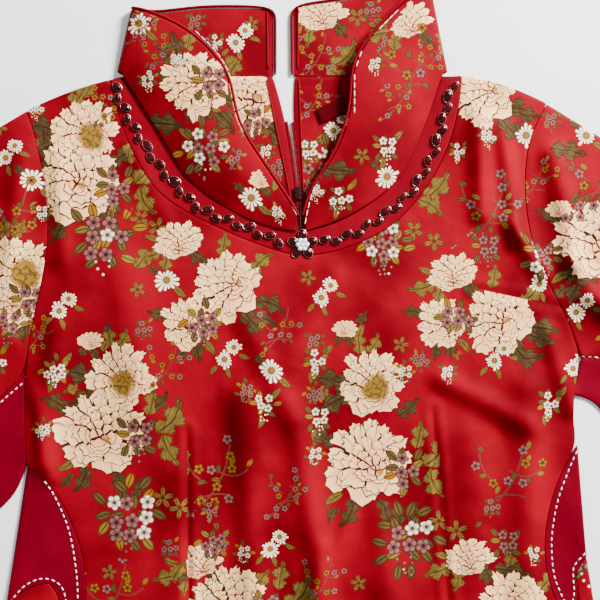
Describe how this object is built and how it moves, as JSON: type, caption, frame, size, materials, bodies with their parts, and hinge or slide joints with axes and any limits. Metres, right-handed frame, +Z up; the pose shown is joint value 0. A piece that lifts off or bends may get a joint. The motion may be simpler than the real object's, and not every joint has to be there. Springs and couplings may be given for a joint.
{
  "type": "cheongsam dress laid flat",
  "caption": "Knee-length flower-print cheongsam lying flat, front up, with a parted stand collar, a stone-trimmed neck band, plain side panels and short wide sleeves.",
  "frame": {"origin": "on the ground, under the middle of the laid-out garment", "axes": "+X to the right of the laid-out garment as seen from above, +Y towards the collar, +Z up out of the front"},
  "size_m": [0.7866, 0.9882, 0.0119],
  "materials": {
    "print": "red cotton printed with cream peonies, small blossoms and olive leaves",
    "plain_red": "plain red cotton",
    "crimson": "plain crimson cotton, slightly sheeny",
    "garnet": "dark garnet stones in thin copper rims",
    "pearl": "clear and white stones with garnet petals",
    "zip_grey": "dark grey zip chain"
  },
  "bodies": {
    "root": {"front": "print", "back_left": "print", "back_right": "print", "neck_band": "plain_red", "collar_left": "print", "collar_right": "print", "piping_left": "plain_red", "piping_right": "plain_red", "sleeve_left": "print", "sleeve_right": "print", "under_sleeve_left": "crimson", "under_sleeve_right": "crimson", "side_panel_left": "crimson", "side_panel_right": "crimson", "side_gore_left": "print", "side_gore_right": "print", "stones_left": "garnet", "stones_right": "garnet", "flower": "pearl", "zip_left": "zip_grey", "zip_right": "zip_grey", "zip_slider": "zip_grey", "neck_tab": "crimson"}
  },
  "joints": []
}
